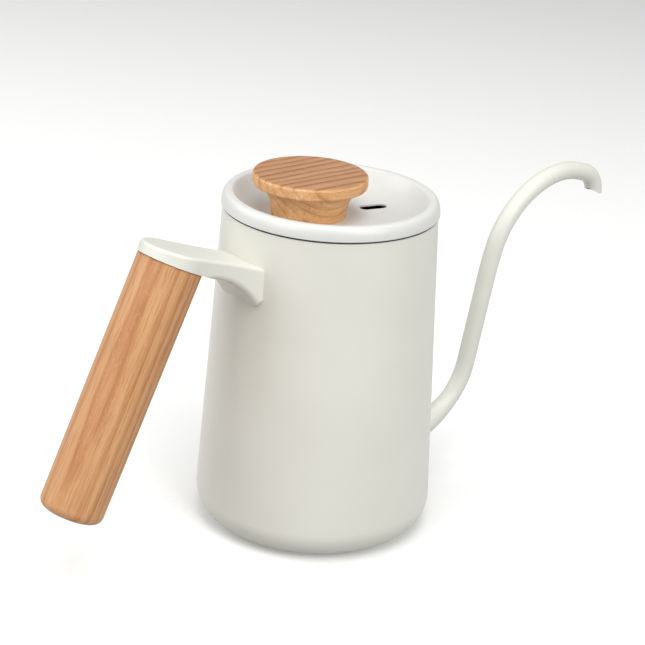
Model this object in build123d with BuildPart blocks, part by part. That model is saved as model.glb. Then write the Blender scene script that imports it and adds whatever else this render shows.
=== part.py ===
from build123d import *
import os
from math import atan, cos, degrees, radians, sin, sqrt, tan

# Gooseneck pour-over kettle, in millimetres.
# Origin: centre of the underside, on the surface that the kettle stands on.
# +Z is up, +X points along the spout and -X along the handle.

os.makedirs("parts", exist_ok=True)

# ---------------------------------------------------------------- driving sizes

# body: a straight taper from the base to the mouth
base_radius = 45.0
mouth_radius = 39.0
mouth_height = 121.9
sheet = 0.8
sheet_edge_rounding = 0.35
base_corner_radius = 10.9
pan_height = 11.5
foot_ring_radius = 31.0
recess_depth = 1.4
disc_radius = 29.2
disc_thickness = 1.0

# ring that stiffens the mouth and guides the lid
mouth_ring_inner = 37.4
mouth_ring_depth = 8.4

# spout
spout_radius = 3.6
spout_wall = 0.7
spout_root_radius = 5.3
inlet_height = 17.6
inlet_hole_radius = 0.9
inlet_circle_radius = 2.7
inlet_hole_count = 6

# handle
grip_tilt = 25.0
grip_reach = 70.4
grip_top_height = 114.2
grip_radius_top = 11.64
grip_radius_end = 11.42
grip_length = 93.2
grip_end_rounding = 3.2
grip_top_chamfer = 0.4
cap_radius = 12.1
bracket_top_at_wall = 109.4
bracket_top_slope = 18.3
foot_half_width = 12.2
foot_bottom = 93.5
foot_corner_radius = 7.5
cap_reach_past = 17.0

# lid, turned a little from the line of the spout
lid_turn = -13.6
lid_radius = 39.5
lid_bottom = 122.6
lid_top = 127.5
lid_sheet = 0.6
lid_floor_height = 120.5
slot_length = 10.8
slot_width = 4.8
slot_reach = 17.4
skirt_radius = 36.4
skirt_bottom = 112.6
gasket_radius = 37.05
gasket_flange_radius = 39.1

# knob
knob_offset = 8.9
knob_height = 15.3
knob_disc_radius = 20.7
knob_disc_thickness = 4.4
knob_flare_radius = 19.7
knob_foot_radius = 13.6

# fasteners
bolt_radius = 2.5
knob_screw_radius = 2.0
bolt_chamfer = 0.4
stud_chamfer = 0.6


# ---------------------------------------------------------------- helpers

taper = (base_radius - mouth_radius) / mouth_height
taper_angle = atan(taper)


def body_radius(height):
    """Outer radius of the tapered body at a height."""
    return base_radius - taper * height


def inner_radius(height):
    """Inner radius of the sheet at a height."""
    return body_radius(height) - sheet / cos(taper_angle)


# ---------------------------------------------------------------- body

inlet_x = body_radius(inlet_height)
inlet_plane = Plane(origin=(inlet_x, 0, inlet_height), x_dir=(0, 1, 0), z_dir=(1, 0, 0))
hole_depth = 3.0

with BuildPart() as body_wall:
    with BuildSketch(Plane.XZ):
        with BuildLine():
            Polyline(
                (inner_radius(pan_height), pan_height),
                (body_radius(pan_height), pan_height),
                (body_radius(mouth_height), mouth_height),
                (inner_radius(mouth_height), mouth_height),
                close=True,
            )
        make_face()
    revolve(axis=Axis.Z)
    rim_edge = body_wall.edges().group_by(Axis.Z)[-1].sort_by(SortBy.LENGTH)[-1]
    fillet(rim_edge, sheet_edge_rounding)
    # water leaves for the spout through a ring of small holes round one in the middle
    with BuildSketch(inlet_plane.offset(-hole_depth)):
        Circle(inlet_hole_radius)
        with PolarLocations(inlet_circle_radius, inlet_hole_count):
            Circle(inlet_hole_radius)
    extrude(amount=2 * hole_depth, mode=Mode.SUBTRACT)

with BuildPart() as base_pan:
    with BuildSketch(Plane.XZ):
        with BuildLine():
            Polyline(
                (0, 0),
                (base_radius, 0),
                (body_radius(pan_height), pan_height),
                (0, pan_height),
                close=True,
            )
        make_face()
        fillet(vertices().sort_by(Axis.X)[-1], base_corner_radius)
    revolve(axis=Axis.Z)
    with BuildSketch(Plane.XZ):
        with BuildLine():
            Polyline(
                (0, sheet),
                (inner_radius(sheet), sheet),
                (inner_radius(pan_height), pan_height),
                (0, pan_height),
                close=True,
            )
        make_face()
        fillet(vertices().sort_by(Axis.X)[-1], base_corner_radius - sheet)
    revolve(axis=Axis.Z, mode=Mode.SUBTRACT)
    # the middle is pressed up, so the pan stands on a ring
    with BuildSketch():
        Circle(foot_ring_radius + sheet)
    extrude(amount=recess_depth + sheet)
    with BuildSketch():
        Circle(foot_ring_radius)
    extrude(amount=recess_depth, mode=Mode.SUBTRACT)

with BuildPart() as base_disc:
    with BuildSketch(Plane.XY.offset(recess_depth - disc_thickness)):
        Circle(disc_radius)
    extrude(amount=disc_thickness)
    fillet(base_disc.edges().group_by(Axis.Z)[0], sheet_edge_rounding)

ring_bottom = mouth_height - mouth_ring_depth

with BuildPart() as mouth_ring:
    with BuildSketch(Plane.XZ):
        with BuildLine():
            Polyline(
                (mouth_ring_inner, ring_bottom + sheet),
                (inner_radius(ring_bottom), ring_bottom),
                (inner_radius(mouth_height), mouth_height),
                (mouth_ring_inner, mouth_height),
                close=True,
            )
        make_face()
    revolve(axis=Axis.Z)

# ---------------------------------------------------------------- spout

# corners of the spout's centre line and the radius of the bend at each
spout_corners = [
    (43.0, 17.1),
    (57.1, 20.0),
    (75.9, 30.5),
    (86.2, 82.9),
    (93.6, 108.9),
    (124.6, 118.0),
    (144.6, 112.0),
    (144.2, 101.0),
]
spout_bends = [40.0, 28.0, 62.2, 38.1, 33.7, 10.0]
# the flared root narrows to the plain tube between these shares of the centre line
flare_stations = [0.0, 0.05, 0.10, 0.15, 0.20]
# the mouth is cut along a slope that turns level at its end, which leaves a blunt beak, as (reach, height)
beak_start = (134.3, 111.15)
beak_knee = (144.2, 104.8)
beak_tip = (150.0, 104.1)
beak_rounding = 3.0
beak_clearance = 14.0


def flare_radius(share):
    """Outer radius of the root at a share of the centre line."""
    left = 1.0 - share / flare_stations[-1]
    ease = left * left * (3 - 2 * left)
    return spout_radius + (spout_root_radius - spout_radius) * ease


def flare_sections(path, wall):
    """Circles across the root, each inside its outer radius by a wall."""
    sections = []
    for share in flare_stations:
        with BuildSketch(Plane(origin=path @ share, z_dir=path % share)) as section:
            Circle(flare_radius(share) - wall)
        sections.append(section.sketch.face())
    return sections


with BuildLine(Plane.XZ) as spout_line:
    FilletPolyline(*spout_corners, radius=spout_bends)
spout_path = spout_line.wires()[0]
root_outside = flare_sections(spout_path, 0)
root_inside = flare_sections(spout_path, spout_wall)

with BuildPart() as spout_tube:
    with BuildSketch(Plane(origin=spout_path @ 0, z_dir=spout_path % 0)):
        Circle(spout_radius)
    sweep(path=spout_path)
    loft(sections=root_outside)
    with BuildSketch(Plane(origin=spout_path @ 0, z_dir=spout_path % 0)):
        Circle(spout_radius - spout_wall)
    sweep(path=spout_path, mode=Mode.SUBTRACT)
    loft(sections=root_inside, mode=Mode.SUBTRACT)
    # the root ends on the body's taper
    with BuildSketch(Plane.XY):
        Circle(body_radius(0))
    extrude(amount=mouth_height, taper=degrees(taper_angle), mode=Mode.SUBTRACT)
    beak_below = beak_tip[1] - beak_clearance
    with BuildSketch(Plane.XZ):
        with BuildLine():
            FilletPolyline(beak_start, beak_knee, beak_tip, radius=beak_rounding)
            Polyline(beak_tip, (beak_tip[0], beak_below), (beak_start[0], beak_below), beak_start)
        make_face()
    extrude(amount=2 * spout_radius, both=True, mode=Mode.SUBTRACT)

# ---------------------------------------------------------------- handle

tilt = radians(grip_tilt)
# grip plane: centre of the joint between the cap and the grip, its normal pointing up out of the cap
grip_plane = Plane(
    origin=(-grip_reach, 0, grip_top_height),
    x_dir=(-cos(tilt), 0, sin(tilt)),
    z_dir=(sin(tilt), 0, cos(tilt)),
)
grip_axis = Axis(grip_plane.origin, grip_plane.z_dir)
# plane through the grip's axis, its y direction along the axis
grip_section = Plane(origin=grip_plane.origin, x_dir=grip_plane.x_dir, z_dir=(0, 1, 0))
wall_at_foot = body_radius(bracket_top_at_wall)
# how far the bracket starts inside the wall before the body is cut away
overlap = 8.0
# underside of the arm: from the cap's plane, in a bow, to the wall, as (reach, height)
underside_start = (57.5, 108.2)
underside_bow = (46.4, 102.2)
underside_wall = (39.5, 93.8)
# half widths of the arm seen along the grip, as (distance from the grip's axis, half width)
arm_start = (4.0, 11.6)
arm_waist = (17.0, 10.2)
arm_flare = (27.0, 10.5)
arm_end = (45.0, 12.6)
edge_rounding = 1.2
underside_rounding = 2.2
stud_radius = 4.2
stud_length = 14.0


def bracket_top(reach):
    """Height of the bracket's flat top at a distance from the axis."""
    return bracket_top_at_wall + (reach - wall_at_foot) * tan(radians(bracket_top_slope))


with BuildPart() as handle_bracket:
    # seen from the side: a flat top, and an underside that drops towards the body
    outer_end = grip_reach + cap_reach_past
    with BuildSketch(Plane.XZ):
        with BuildLine():
            Polyline(
                (-underside_start[0], underside_start[1]),
                (-outer_end, grip_top_height + (outer_end - grip_reach) * tan(tilt)),
                (-outer_end, bracket_top(outer_end)),
                (-wall_at_foot + overlap, bracket_top(wall_at_foot - overlap)),
                (-underside_wall[0] + overlap, underside_wall[1]),
                (-underside_wall[0], underside_wall[1]),
            )
            ThreePointArc(
                (-underside_wall[0], underside_wall[1]),
                (-underside_bow[0], underside_bow[1]),
                (-underside_start[0], underside_start[1]),
            )
        make_face()
    extrude(amount=2 * cap_radius, both=True)
    # seen along the grip: a round cap on a waisted arm
    with BuildSketch(grip_plane):
        Circle(cap_radius)
        with BuildLine():
            side = [(-reach, -width) for reach, width in (arm_start, arm_waist, arm_flare, arm_end)]
            Line((0, -cap_radius), side[0])
            Spline(*side)
            Polyline(side[-1], (-arm_end[0], 0), (0, 0), (0, -cap_radius))
        make_face()
        mirror(about=Plane.XZ)
    extrude(amount=arm_end[0], both=True, mode=Mode.INTERSECT)
    top_face = handle_bracket.faces().filter_by(GeomType.PLANE).sort_by(
        lambda face: face.normal_at().Z * face.area
    )[-1]
    long_edges = top_face.edges().filter_by(lambda edge: edge.center().X < -wall_at_foot)
    fillet(long_edges, edge_rounding)
    bowed_face = handle_bracket.faces().filter_by(GeomType.CYLINDER).sort_by(SortBy.AREA)[-1]
    low_edges = bowed_face.edges().filter_by(lambda edge: abs(edge.center().Y) > cap_radius / 2)
    fillet(low_edges, underside_rounding)
    # seen from the handle: the foot's lower corners are round
    with BuildSketch(Plane.YZ):
        with BuildLine():
            FilletPolyline(
                (-foot_half_width, bracket_top(outer_end)),
                (-foot_half_width, foot_bottom),
                (foot_half_width, foot_bottom),
                (foot_half_width, bracket_top(outer_end)),
                radius=foot_corner_radius,
            )
            Line((foot_half_width, bracket_top(outer_end)), (-foot_half_width, bracket_top(outer_end)))
        make_face()
    extrude(amount=-outer_end, mode=Mode.INTERSECT)
    # the foot ends on the body's taper
    with BuildSketch(Plane.XY):
        Circle(body_radius(0))
    extrude(amount=mouth_height, taper=degrees(taper_angle), mode=Mode.SUBTRACT)

# ---------------------------------------------------------------- grip and its fixing

bolt_reach = 10.0
head_recess = 9.5
head_radius = 4.25
head_height = 5.0
socket_width = 4.0
socket_depth = 2.6
washer_radius = 5.0
washer_thickness = 1.0
spring_washer_radius = 4.4
spring_washer_thickness = 1.3
bore_clearance = 0.3
stud_clearance = 0.5
spring_slit = 0.8
spring_slit_angle = 20.0
seat = grip_length - head_recess

with BuildPart() as grip_stud:
    with BuildSketch(grip_plane):
        Circle(stud_radius)
    extrude(amount=-stud_length)
    chamfer(grip_stud.edges().filter_by(GeomType.CIRCLE).sort_by(Axis.Z)[0], stud_chamfer)
    with BuildSketch(grip_plane):
        Circle(bolt_radius)
    extrude(amount=-stud_length, mode=Mode.SUBTRACT)

with BuildPart() as handle_grip:
    with BuildSketch(grip_section):
        with BuildLine():
            Polyline(
                (0, 0),
                (grip_radius_top, 0),
                (grip_radius_end, -grip_length),
                (0, -grip_length),
                close=True,
            )
        make_face()
        fillet(vertices().sort_by(Axis.X)[-2], grip_end_rounding)
        chamfer(vertices().sort_by(Axis.X)[-1], grip_top_chamfer)
    revolve(axis=grip_axis)
    with BuildSketch(grip_plane):
        Circle(bolt_radius + bore_clearance)
    extrude(amount=-grip_length, mode=Mode.SUBTRACT)
    with BuildSketch(grip_plane):
        Circle(stud_radius)
    extrude(amount=-stud_length - stud_clearance, mode=Mode.SUBTRACT)
    with BuildSketch(grip_plane.offset(-seat)):
        Circle(washer_radius + bore_clearance)
    extrude(amount=-2 * head_recess, mode=Mode.SUBTRACT)

with BuildPart() as grip_washer:
    with BuildSketch(grip_plane.offset(-seat)):
        Circle(washer_radius)
        Circle(bolt_radius + bore_clearance, mode=Mode.SUBTRACT)
    extrude(amount=-washer_thickness)

with BuildPart() as grip_spring_washer:
    with BuildSketch(grip_plane.offset(-seat - washer_thickness)):
        Circle(spring_washer_radius)
        Circle(bolt_radius + bore_clearance, mode=Mode.SUBTRACT)
        with Locations((spring_washer_radius, 0)):
            Rectangle(
                2 * spring_washer_radius,
                spring_slit,
                rotation=spring_slit_angle,
                mode=Mode.SUBTRACT,
            )
    extrude(amount=-spring_washer_thickness)

head_seat = seat + washer_thickness + spring_washer_thickness

with BuildPart() as grip_bolt:
    with BuildSketch(grip_plane.offset(-head_seat)):
        Circle(bolt_radius)
    extrude(amount=head_seat - stud_length + bolt_reach)
    chamfer(grip_bolt.edges().sort_by(Axis.Z)[-1], bolt_chamfer)
    with BuildSketch(grip_plane.offset(-head_seat)):
        Circle(head_radius)
    extrude(amount=-head_height)
    chamfer(grip_bolt.edges().filter_by(GeomType.CIRCLE).sort_by(Axis.Z)[0], bolt_chamfer)
    with BuildSketch(grip_plane.offset(-head_seat - head_height)):
        RegularPolygon(socket_width / 2, 6, major_radius=False)
    extrude(amount=socket_depth, mode=Mode.SUBTRACT)

# ---------------------------------------------------------------- lid

turn = radians(lid_turn)
lid_x = (cos(turn), sin(turn), 0)
lid_edge_width = 2.2
lid_edge_height = 4.5
lid_lip_inner = 35.4
lid_wall_foot = 30.6
lid_lip_rounding = 1.4
lid_floor_rounding = 9.0
lid_wall_slope = (lid_lip_inner - lid_wall_foot) / (lid_top - lid_floor_height)
screw_clearance = 0.2


def lid_plane(height):
    """Plane across the lid at a height, its x direction through the vent and the knob."""
    return Plane(origin=(0, 0, height), x_dir=lid_x, z_dir=(0, 0, 1))


def lid_outline(depth):
    """Half section of the lid's skin at a depth under its outer surface, as drawn edges."""
    shift = depth * sqrt(1 + lid_wall_slope**2) - depth * lid_wall_slope
    edge_start = (lid_radius - depth, lid_bottom)
    edge_foot = (lid_radius - depth, lid_top - lid_edge_height)
    edge_top = (lid_radius - lid_edge_width, lid_top - depth)
    return edge_start, edge_foot, edge_top, lid_lip_inner + shift, lid_wall_foot + shift


with BuildPart() as lid_shell:
    with BuildSketch(Plane.XZ):
        with BuildLine():
            for depth in (0, lid_sheet):
                start, foot, top, lip, wall = lid_outline(depth)
                floor = lid_floor_height - depth
                Line(start, foot)
                EllipticalCenterArc(
                    center=(top[0], foot[1]),
                    x_radius=lid_edge_width - depth,
                    y_radius=lid_edge_height - depth,
                    start_angle=0,
                    arc_size=90,
                )
                FilletPolyline(
                    top,
                    (lip, top[1]),
                    (wall, floor),
                    (0, floor),
                    radius=[lid_lip_rounding - depth, lid_floor_rounding + depth],
                )
            Line((lid_radius, lid_bottom), (lid_radius - lid_sheet, lid_bottom))
            Line((0, lid_floor_height), (0, lid_floor_height - lid_sheet))
        make_face()
    revolve(axis=Axis.Z)
    with BuildSketch(lid_plane(lid_floor_height)):
        with Locations((slot_reach, 0)):
            SlotOverall(slot_length, slot_width)
        with Locations((-knob_offset, 0)):
            Circle(knob_screw_radius + screw_clearance)
    extrude(amount=-2 * lid_sheet, mode=Mode.SUBTRACT)

with BuildPart() as lid_skirt:
    with BuildSketch(Plane.XZ):
        with BuildLine():
            Polyline(
                (skirt_radius - sheet, skirt_bottom),
                (skirt_radius, skirt_bottom),
                (skirt_radius, lid_bottom),
                (lid_radius - lid_sheet, lid_bottom),
                (lid_radius - lid_sheet, lid_top - lid_edge_height),
                (skirt_radius - sheet, lid_top - lid_edge_height),
                close=True,
            )
        make_face()
        fillet(vertices().group_by(Axis.Y)[0], sheet_edge_rounding)
    revolve(axis=Axis.Z)

gasket_wall = 0.5
gasket_bottom = 114.0
gasket_ribs = [115.2, 117.3, 119.4]
rib_radius = 0.4
skirt_length = lid_bottom - skirt_bottom

with BuildPart() as lid_gasket:
    with BuildSketch(Plane.XZ):
        with BuildLine():
            Polyline(
                (skirt_radius, gasket_bottom),
                (skirt_radius + gasket_wall, gasket_bottom),
                (skirt_radius + gasket_wall, mouth_height),
                (gasket_flange_radius, mouth_height),
                (gasket_flange_radius, lid_bottom),
                (skirt_radius, lid_bottom),
                close=True,
            )
        make_face()
        with Locations(*[(gasket_radius - rib_radius, height) for height in gasket_ribs]):
            Circle(rib_radius)
        with Locations((skirt_radius, gasket_bottom)):
            Rectangle(2 * rib_radius, skirt_length, align=(Align.MAX, Align.MIN), mode=Mode.SUBTRACT)
    revolve(axis=Axis.Z)

# ---------------------------------------------------------------- knob and its fixing

knob_x = -knob_offset * cos(turn)
knob_y = -knob_offset * sin(turn)
# plane through the knob's axis, its y direction up and its origin on the lid's floor
knob_section = Plane(
    origin=(knob_x, knob_y, lid_floor_height),
    x_dir=lid_x,
    z_dir=(sin(turn), -cos(turn), 0),
)
knob_axis = Axis((knob_x, knob_y, 0), (0, 0, 1))
knob_underside = knob_height - knob_disc_thickness
knob_edge_rounding = 1.1
knob_underside_rounding = 0.9
insert_radius = 3.0
insert_length = 9.0
seal_thickness = 0.8
seal_radius = 5.0
knob_washer_thickness = 0.8
knob_washer_radius = 5.5
knob_screw_reach = 8.0
knob_screw_head_radius = 3.8
knob_screw_head_height = 2.6
knob_screw_head_rounding = 1.2
cross_width = 1.0
cross_length = 4.4
cross_depth = 1.5


def knob_level(height):
    """Plane across the knob's axis at a height."""
    return Plane(origin=(knob_x, knob_y, height), x_dir=lid_x, z_dir=(0, 0, 1))


with BuildPart() as lid_knob:
    with BuildSketch(knob_section):
        with BuildLine():
            FilletPolyline(
                (knob_flare_radius, knob_underside),
                (knob_disc_radius, knob_underside),
                (knob_disc_radius, knob_height),
                (0, knob_height),
                radius=[knob_underside_rounding, knob_edge_rounding],
            )
            Polyline((0, knob_height), (0, 0), (knob_foot_radius, 0))
            # the neck flares up into the disc
            EllipticalCenterArc(
                center=(knob_flare_radius, 0),
                x_radius=knob_flare_radius - knob_foot_radius,
                y_radius=knob_underside,
                start_angle=180,
                arc_size=-90,
            )
        make_face()
    revolve(axis=knob_axis)
    with BuildSketch(knob_level(lid_floor_height)):
        Circle(insert_radius)
    extrude(amount=insert_length, mode=Mode.SUBTRACT)

with BuildPart() as knob_insert:
    with BuildSketch(knob_level(lid_floor_height)):
        Circle(insert_radius)
        Circle(knob_screw_radius, mode=Mode.SUBTRACT)
    extrude(amount=insert_length)

seal_top = lid_floor_height - lid_sheet

with BuildPart() as knob_seal:
    with BuildSketch(knob_level(seal_top)):
        Circle(seal_radius)
        Circle(knob_screw_radius + screw_clearance, mode=Mode.SUBTRACT)
    extrude(amount=-seal_thickness)

with BuildPart() as knob_washer:
    with BuildSketch(knob_level(seal_top - seal_thickness)):
        Circle(knob_washer_radius)
        Circle(knob_screw_radius + screw_clearance, mode=Mode.SUBTRACT)
    extrude(amount=-knob_washer_thickness)

head_top = seal_top - seal_thickness - knob_washer_thickness

with BuildPart() as knob_screw:
    with BuildSketch(knob_level(head_top)):
        Circle(knob_screw_radius)
    extrude(amount=lid_floor_height - head_top + knob_screw_reach)
    with BuildSketch(knob_level(head_top)):
        Circle(knob_screw_head_radius)
    extrude(amount=-knob_screw_head_height)
    fillet(knob_screw.edges().sort_by(Axis.Z)[0], knob_screw_head_rounding)
    with BuildSketch(knob_level(head_top - knob_screw_head_height)):
        Rectangle(cross_length, cross_width)
        Rectangle(cross_width, cross_length)
    extrude(amount=cross_depth, mode=Mode.SUBTRACT)

# ---------------------------------------------------------------- pieces

pieces = {
    "body_wall": body_wall,
    "base_pan": base_pan,
    "base_disc": base_disc,
    "mouth_ring": mouth_ring,
    "spout_tube": spout_tube,
    "handle_bracket": handle_bracket,
    "grip_stud": grip_stud,
    "handle_grip": handle_grip,
    "grip_washer": grip_washer,
    "grip_spring_washer": grip_spring_washer,
    "grip_bolt": grip_bolt,
    "lid_shell": lid_shell,
    "lid_skirt": lid_skirt,
    "lid_gasket": lid_gasket,
    "lid_knob": lid_knob,
    "knob_insert": knob_insert,
    "knob_seal": knob_seal,
    "knob_washer": knob_washer,
    "knob_screw": knob_screw,
}
for name, piece in pieces.items():
    piece.part.label = name
    export_step(piece.part, f"parts/{name}.step")
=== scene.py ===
from math import cos, pi, radians, sin

import bpy
from mathutils import Matrix, Vector

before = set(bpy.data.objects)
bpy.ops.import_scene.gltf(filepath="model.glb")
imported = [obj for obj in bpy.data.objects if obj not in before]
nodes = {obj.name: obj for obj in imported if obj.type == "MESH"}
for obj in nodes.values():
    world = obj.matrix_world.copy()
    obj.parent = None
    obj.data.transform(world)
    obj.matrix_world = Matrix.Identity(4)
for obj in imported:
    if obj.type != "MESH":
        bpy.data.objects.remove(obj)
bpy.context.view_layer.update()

# Gooseneck pour-over kettle. Metres, +Z up, +X along the spout, -X along the handle.

MM = 0.001


# ------------------------------------------------------------------ camera

def place_camera():
    """A long lens from the handle's side and above, turned a little about its own axis."""
    azimuth, elevation, roll = radians(-41.5), radians(22.16), radians(3.835)
    distance = 0.650
    aim = Vector((0, 0, 0.065))
    lens, sensor = 97.34, 36.0
    # where the aim point stands in the frame, from its middle, as shares of the frame's width
    aside, above = -0.0024, -0.0460
    back = Vector((
        sin(azimuth) * cos(elevation),
        -cos(azimuth) * cos(elevation),
        sin(elevation),
    ))
    right = Vector((cos(azimuth), sin(azimuth), 0))
    up = back.cross(right)
    right, up = (
        cos(roll) * right + sin(roll) * up,
        cos(roll) * up - sin(roll) * right,
    )
    width = distance * sensor / lens
    place = aim + distance * back - aside * width * right - above * width * up
    camera = bpy.data.objects.new("camera", bpy.data.cameras.new("camera"))
    bpy.context.scene.collection.objects.link(camera)
    camera.data.sensor_width = sensor
    camera.data.lens = lens
    camera.data.clip_start = 0.01
    turn = Matrix((right, up, back)).transposed().to_4x4()
    camera.matrix_world = Matrix.Translation(place) @ turn
    bpy.context.scene.camera = camera


place_camera()


# ------------------------------------------------------------------ material tools

def linear(code):
    """sRGB hex colour to the linear values that the nodes take."""
    channels = [int(code[i:i + 2], 16) / 255 for i in (1, 3, 5)]
    return tuple(c / 12.92 if c <= 0.04045 else ((c + 0.055) / 1.055) ** 2.4 for c in channels) + (1.0,)


def add_node(material, kind, settings=None, inputs=None):
    """A shader node with its settings, and its inputs set to values or linked from other nodes' sockets."""
    node = material.node_tree.nodes.new(kind)
    for name, value in (settings or {}).items():
        setattr(node, name, value)
    for name, value in (inputs or {}).items():
        if isinstance(value, bpy.types.NodeSocket):
            material.node_tree.links.new(value, node.inputs[name])
        else:
            node.inputs[name].default_value = value
    return node


def new_material(name):
    """An empty node material."""
    material = bpy.data.materials.new(name)
    material.use_nodes = True
    material.node_tree.nodes.clear()
    return material


def surface(material, shader):
    """The material with this shader as its surface."""
    add_node(material, "ShaderNodeOutputMaterial", inputs={"Surface": shader.outputs["BSDF"]})
    return material


def ramp(material, factor, stops):
    """A colour ramp from (place, hex colour) stops."""
    node = add_node(material, "ShaderNodeValToRGB", inputs={"Fac": factor})
    elements = node.color_ramp.elements
    while len(elements) < len(stops):
        elements.new(0.5)
    for element, (place, code) in zip(elements, stops):
        element.position = place
        element.color = linear(code)
    return node.outputs["Color"]


def object_place(material):
    """Each point's place on the piece, in metres."""
    return add_node(material, "ShaderNodeTexCoord").outputs["Object"]


# ------------------------------------------------------------------ materials

def powder_coat(name, base, shade, roughness, peel_mm=0.9):
    """Baked polyester powder coat on steel: satin, with the faint orange peel of the fused powder."""
    material = new_material(name)
    place = object_place(material)
    drift = add_node(material, "ShaderNodeTexNoise", inputs={
        "Vector": place, "Scale": 1 / (38 * MM), "Detail": 2.0, "Roughness": 0.4})
    colour = ramp(material, drift.outputs["Fac"], [(0.35, shade), (0.65, base)])
    peel = add_node(material, "ShaderNodeTexNoise", inputs={
        "Vector": place, "Scale": 1 / (peel_mm * MM), "Detail": 2.0, "Roughness": 0.5})
    grit = add_node(material, "ShaderNodeTexNoise", inputs={
        "Vector": place, "Scale": 1 / (0.35 * MM), "Detail": 1.0})
    gloss = add_node(material, "ShaderNodeMapRange", inputs={
        "Value": grit.outputs["Fac"], "From Min": 0.3, "From Max": 0.7,
        "To Min": roughness - 0.04, "To Max": roughness + 0.05})
    bump = add_node(material, "ShaderNodeBump", inputs={
        "Strength": 0.06, "Distance": 0.00012, "Height": peel.outputs["Fac"]})
    shader = add_node(material, "ShaderNodeBsdfPrincipled", inputs={
        "Base Color": colour, "Roughness": gloss.outputs["Result"], "IOR": 1.5,
        "Normal": bump.outputs["Normal"], "Coat Weight": 0.12, "Coat Roughness": 0.25})
    return surface(material, shader)


def satin_steel(name, base, shade, roughness, grain_mm, direction):
    """Stainless steel with a fine one-way grain: the pattern is long along one direction."""
    material = new_material(name)
    place = object_place(material)
    stretched = add_node(material, "ShaderNodeMapping", inputs={"Vector": place, "Scale": direction})
    grain = add_node(material, "ShaderNodeTexNoise", inputs={
        "Vector": stretched.outputs["Vector"], "Scale": 1 / (grain_mm * MM), "Detail": 3.0})
    colour = ramp(material, grain.outputs["Fac"], [(0.3, shade), (0.7, base)])
    gloss = add_node(material, "ShaderNodeMapRange", inputs={
        "Value": grain.outputs["Fac"], "From Min": 0.3, "From Max": 0.7,
        "To Min": roughness - 0.06, "To Max": roughness + 0.08})
    bump = add_node(material, "ShaderNodeBump", inputs={
        "Strength": 0.15, "Distance": 0.00005, "Height": grain.outputs["Fac"]})
    shader = add_node(material, "ShaderNodeBsdfPrincipled", inputs={
        "Base Color": colour, "Metallic": 1.0, "Roughness": gloss.outputs["Result"],
        "Normal": bump.outputs["Normal"]})
    return surface(material, shader)


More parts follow.
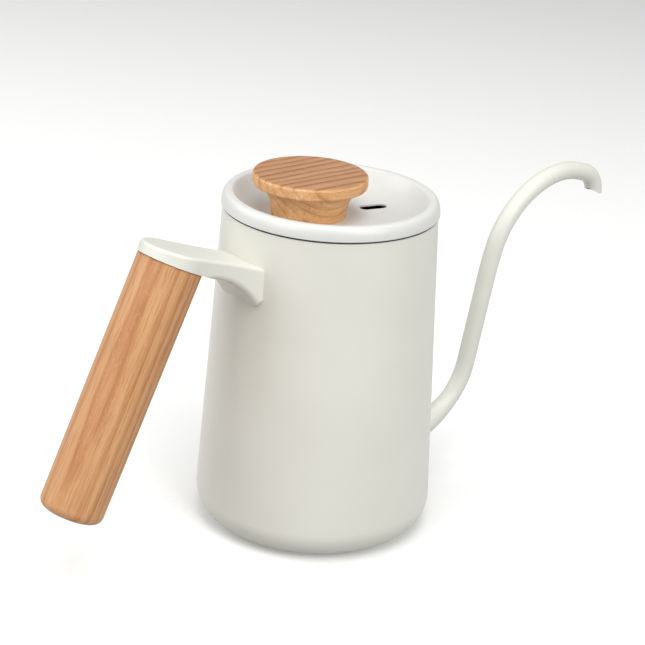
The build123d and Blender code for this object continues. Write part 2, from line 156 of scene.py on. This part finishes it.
def turned_wood(name, turn, heart, ring_mm, rings, bands, pore, ring_share, upward_ring_gain, face):
    """Oiled ash, turned on a lathe: growth rings seen along the grain, broad tone bands and long open pores.

    turn brings the grain onto Z, and heart is then the way to the middle of the tree. rings are the tones
    of late wood, early wood and the palest wood, bands the darkest and the palest broad tone.
    upward_ring_gain adds to the rings, and face to the tone, where a face points up: faces that point up get
    stronger rings and a darker, greyer tone."""
    late, early, pale = rings
    material = new_material(name)
    place = add_node(material, "ShaderNodeTexCoord")
    grain = add_node(material, "ShaderNodeMapping", inputs={
        "Vector": place.outputs["Object"], "Location": heart, "Rotation": turn})
    along = add_node(material, "ShaderNodeMapping", inputs={
        "Vector": grain.outputs["Vector"], "Scale": (1.0, 1.0, 0.10)})
    # the rings wander slowly along the grain
    wander = add_node(material, "ShaderNodeTexNoise", inputs={
        "Vector": along.outputs["Vector"], "Scale": 1 / (16 * MM), "Detail": 2.0, "Roughness": 0.45})
    centred = add_node(material, "ShaderNodeVectorMath", {"operation": "SUBTRACT"}, {
        0: wander.outputs["Color"], 1: (0.5, 0.5, 0.5)})
    shift = add_node(material, "ShaderNodeVectorMath", {"operation": "SCALE"}, {
        0: centred.outputs["Vector"], "Scale": 6 * MM})
    bent = add_node(material, "ShaderNodeVectorMath", {"operation": "ADD"}, {
        0: along.outputs["Vector"], 1: shift.outputs["Vector"]})
    # one ring of the wave texture is pi / 10 long at a scale of 1
    wave = add_node(material, "ShaderNodeTexWave", {
        "wave_type": "RINGS", "rings_direction": "Z", "wave_profile": "SAW"}, {
        "Vector": bent.outputs["Vector"], "Scale": pi / 10 / (ring_mm * MM), "Distortion": 1.2,
        "Detail": 2.0, "Detail Scale": 1.5})
    growth = ramp(material, wave.outputs["Fac"], [
        (0.0, early), (0.12, pale), (0.45, pale), (0.72, early), (0.90, late), (0.95, late), (1.0, early)])
    broad = add_node(material, "ShaderNodeTexNoise", inputs={
        "Vector": bent.outputs["Vector"], "Scale": 1 / (5 * MM), "Detail": 2.0, "Roughness": 0.55})
    stripes = ramp(material, broad.outputs["Fac"], [(0.32, bands[0]), (0.5, early), (0.68, bands[1])])
    facing = add_node(material, "ShaderNodeSeparateXYZ", inputs={"Vector": place.outputs["Normal"]})
    # faces that point up get a darker, greyer tone and stronger rings, by the normal alone
    upward_share = add_node(material, "ShaderNodeMapRange", inputs={
        "Value": facing.outputs["Z"], "From Min": 0.6, "From Max": 0.98, "To Min": 0.0, "To Max": 0.85})
    # late wood is stronger in some rings than in others, and on faces that point up
    varied = add_node(material, "ShaderNodeMapRange", inputs={
        "Value": broad.outputs["Fac"], "From Min": 0.3, "From Max": 0.7,
        "To Min": 1.25 * ring_share, "To Max": 0.7 * ring_share})
    strength = add_node(material, "ShaderNodeMath", {"operation": "MULTIPLY_ADD", "use_clamp": True}, {
        0: upward_share.outputs["Result"], 1: upward_ring_gain, 2: varied.outputs["Result"]})
    wood = add_node(material, "ShaderNodeMix", {"data_type": "RGBA"}, {
        0: strength.outputs[0], 6: stripes, 7: growth})
    # fibres and open pores, long along the grain
    fibre_place = add_node(material, "ShaderNodeMapping", inputs={
        "Vector": grain.outputs["Vector"], "Scale": (1.0, 1.0, 0.05)})
    fibres = add_node(material, "ShaderNodeTexNoise", inputs={
        "Vector": fibre_place.outputs["Vector"], "Scale": 1 / (0.6 * MM), "Detail": 3.0,
        "Roughness": 0.65})
    pores = add_node(material, "ShaderNodeMapRange", inputs={
        "Value": fibres.outputs["Fac"], "From Min": 0.34, "From Max": 0.52, "To Min": 0.5, "To Max": 0.0})
    coloured = add_node(material, "ShaderNodeMix", {"data_type": "RGBA"}, {
        0: pores.outputs["Result"], 6: wood.outputs[2], 7: linear(pore)})
    # short pale flecks where rays come to the surface
    ray_place = add_node(material, "ShaderNodeMapping", inputs={
        "Vector": grain.outputs["Vector"], "Scale": (1.0, 1.0, 0.3)})
    rays = add_node(material, "ShaderNodeTexNoise", inputs={
        "Vector": ray_place.outputs["Vector"], "Scale": 1 / (0.5 * MM), "Detail": 1.0})
    flecks = add_node(material, "ShaderNodeMapRange", inputs={
        "Value": rays.outputs["Fac"], "From Min": 0.62, "From Max": 0.72, "To Min": 0.0, "To Max": 0.35})
    flecked = add_node(material, "ShaderNodeMix", {"data_type": "RGBA"}, {
        0: flecks.outputs["Result"], 6: coloured.outputs[2], 7: linear(bands[1])})
    # the face tone darkens and greys faces that point up
    toned = add_node(material, "ShaderNodeMix", {"data_type": "RGBA", "blend_type": "MULTIPLY"}, {
        0: upward_share.outputs["Result"], 6: flecked.outputs[2], 7: linear(face)})
    bump = add_node(material, "ShaderNodeBump", inputs={
        "Strength": 0.3, "Distance": 0.0001, "Height": fibres.outputs["Fac"]})
    shader = add_node(material, "ShaderNodeBsdfPrincipled", inputs={
        "Base Color": toned.outputs[2], "Roughness": 0.5, "IOR": 1.5,
        "Normal": bump.outputs["Normal"]})
    return surface(material, shader)


def silicone(name, base, shade):
    """Moulded food-grade silicone: dull, with a soft sheen."""
    material = new_material(name)
    place = object_place(material)
    mottle = add_node(material, "ShaderNodeTexNoise", inputs={
        "Vector": place, "Scale": 1 / (1.5 * MM), "Detail": 2.0})
    colour = ramp(material, mottle.outputs["Fac"], [(0.3, shade), (0.7, base)])
    bump = add_node(material, "ShaderNodeBump", inputs={
        "Strength": 0.2, "Distance": 0.00005, "Height": mottle.outputs["Fac"]})
    shader = add_node(material, "ShaderNodeBsdfPrincipled", inputs={
        "Base Color": colour, "Roughness": 0.6, "IOR": 1.41, "Normal": bump.outputs["Normal"]})
    return surface(material, shader)


body_coat = powder_coat("warm_white_powder_coat", "#dbdad1", "#d7d6cc", 0.42)
lid_coat = powder_coat("cool_white_powder_coat", "#d4d4d1", "#d1d1ce", 0.36)
spun_steel = satin_steel("spun_stainless_steel", "#b9b6b1", "#a29f9a", 0.30, 0.5, (0.05, 0.05, 1.0))
plain_steel = satin_steel("satin_stainless_steel", "#b5b2ae", "#9a9792", 0.34, 0.4, (1.0, 1.0, 0.3))
disc_steel = satin_steel("turned_magnetic_steel", "#a8a5a0", "#8f8c87", 0.38, 0.6, (1.0, 0.06, 1.0))
brass = satin_steel("machined_brass", "#c8a765", "#a98a4c", 0.32, 0.4, (0.2, 0.2, 1.0))
dark_silicone = silicone("dark_grey_silicone", "#3a3b3c", "#2f3031")
grip_wood = turned_wood(
    "oiled_ash_grip", (0, radians(-25), 0), (0.172, 0.035, 0), 3.4,
    ("#ab6c42", "#c08a59", "#d0a070"), ("#b47b4e", "#d6a577"), "#995c36", 0.55, 0.0, "#ffffff")
# the knob's last two values darken and grey its faces that point up and strengthen their rings
knob_wood = turned_wood(
    "oiled_ash_knob", (0, radians(-90), 0), (0.170, 0.060, 0), 3.8,
    ("#96603a", "#d3a06b", "#dfae79"), ("#c48e59", "#e8bb87"), "#a96f44", 0.4, 0.45, "#c8bec6")


# ------------------------------------------------------------------ finishes on the frame's nodes

finishes = {
    "body_wall": body_coat, "base_pan": body_coat, "spout_tube": body_coat, "handle_bracket": body_coat,
    "lid_shell": lid_coat, "mouth_ring": spun_steel, "lid_skirt": spun_steel, "base_disc": disc_steel,
    "grip_stud": plain_steel, "grip_washer": plain_steel, "grip_spring_washer": plain_steel,
    "grip_bolt": plain_steel, "knob_washer": plain_steel, "knob_screw": plain_steel,
    "knob_insert": brass, "lid_gasket": dark_silicone, "knob_seal": dark_silicone,
    "handle_grip": grip_wood, "lid_knob": knob_wood,
}
for name, finish in finishes.items():
    slots = nodes[name].data.materials
    if len(slots):
        slots[0] = finish
    else:
        slots.append(finish)


# ------------------------------------------------------------------ studio

floor_size = 12.0
floor_drop = 0.2 * MM
surround_as_light = 0.39
surround_as_seen = 1.0
softbox_size = 0.8
softbox_aim = (0, 0, 0.07)


def studio():
    """A plain pale floor, a white surround and five soft lamps."""
    bpy.ops.object.select_all(action="DESELECT")
    bpy.ops.mesh.primitive_plane_add(size=floor_size, location=(0, 0, -floor_drop))
    floor = bpy.context.object
    floor.name = "studio_floor"
    paper = new_material("white_paper")
    place = object_place(paper)
    fibre = add_node(paper, "ShaderNodeTexNoise", inputs={"Vector": place, "Scale": 1 / (2 * MM)})
    tone = ramp(paper, fibre.outputs["Fac"], [(0.3, "#f7f7f6"), (0.7, "#fafaf9")])
    matt = add_node(paper, "ShaderNodeBsdfPrincipled", inputs={"Base Color": tone, "Roughness": 0.9})
    surface(paper, matt)
    floor.data.materials.append(paper)
    # the floor is seen but throws no light up, as black cloth beside a white sweep would have it
    floor.visible_diffuse = False
    # the surround is seen white, and lights the kettle more softly than that
    world = bpy.data.worlds.new("white_surround")
    world.use_nodes = True
    background = world.node_tree.nodes["Background"]
    background.inputs["Color"].default_value = (1.0, 1.0, 1.0, 1.0)
    path = world.node_tree.nodes.new("ShaderNodeLightPath")
    strength = world.node_tree.nodes.new("ShaderNodeMapRange")
    strength.inputs["To Min"].default_value = surround_as_light
    strength.inputs["To Max"].default_value = surround_as_seen
    world.node_tree.links.new(path.outputs["Is Camera Ray"], strength.inputs["Value"])
    world.node_tree.links.new(strength.outputs["Result"], background.inputs["Strength"])
    bpy.context.scene.world = world
    bpy.context.scene.view_settings.view_transform = "Standard"
    # name, place in metres, power in watts
    lamps = [
        ("overhead_softbox", (0.0, 0.0, 1.42), 4.5),
        ("high_front_softbox", (-0.34, -0.58, 1.24), 7.4),
        ("front_right_softbox", (0.00, -1.19, 0.70), 7.8),
        ("handle_softbox", (-1.22, 0.00, 0.64), 5.0),
        ("back_softbox", (-0.75, 0.90, 0.74), 6.0),
    ]
    for name, place, power in lamps:
        lamp = bpy.data.objects.new(name, bpy.data.lights.new(name, "AREA"))
        lamp.data.size = softbox_size
        lamp.data.energy = power
        lamp.location = place
        aim = Vector(softbox_aim) - Vector(place)
        lamp.rotation_euler = aim.to_track_quat("-Z", "Y").to_euler()
        bpy.context.scene.collection.objects.link(lamp)


studio()
